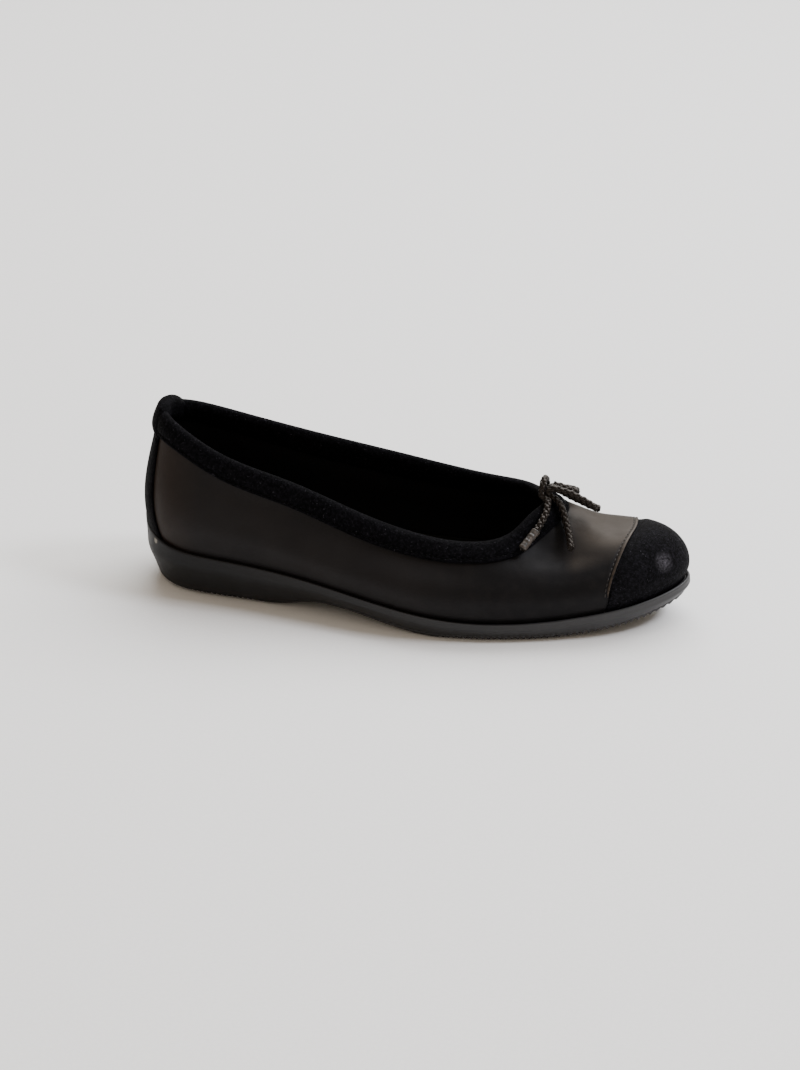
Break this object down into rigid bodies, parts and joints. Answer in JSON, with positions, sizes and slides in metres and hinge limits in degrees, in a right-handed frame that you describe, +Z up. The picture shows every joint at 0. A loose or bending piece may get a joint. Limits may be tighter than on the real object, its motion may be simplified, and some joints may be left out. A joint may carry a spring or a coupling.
{
  "type": "ballet flat",
  "caption": "Round-toed ballet flat: hollow leather upper with suede toe cap, collar binding and heel strip, a cord bow, and a moulded rubber sole with a low wedge heel.",
  "frame": {"origin": "on the floor, under the centre of the shoe's box", "axes": "+X from heel to toe, +Y to the wearer's left, which is the inner side of this right shoe, +Z up"},
  "size_m": [0.2394, 0.0878, 0.08],
  "materials": {
    "leather": "smooth matte black leather with a brown cast",
    "suede": "black suede with a short speckled nap",
    "rubber": "moulded black rubber, satin",
    "lining": "black textile lining",
    "cord": "round braided black cord"
  },
  "bodies": {
    "root": {"outsole": "rubber", "upper": "leather", "insole": "lining", "topline_binding": "suede", "heel_strip": "suede", "toe_cap": "suede", "bow_knot": "cord", "bow_loop_outer": "cord", "bow_loop_inner": "cord", "bow_end_outer": "cord", "bow_end_front": "cord"}
  },
  "joints": []
}
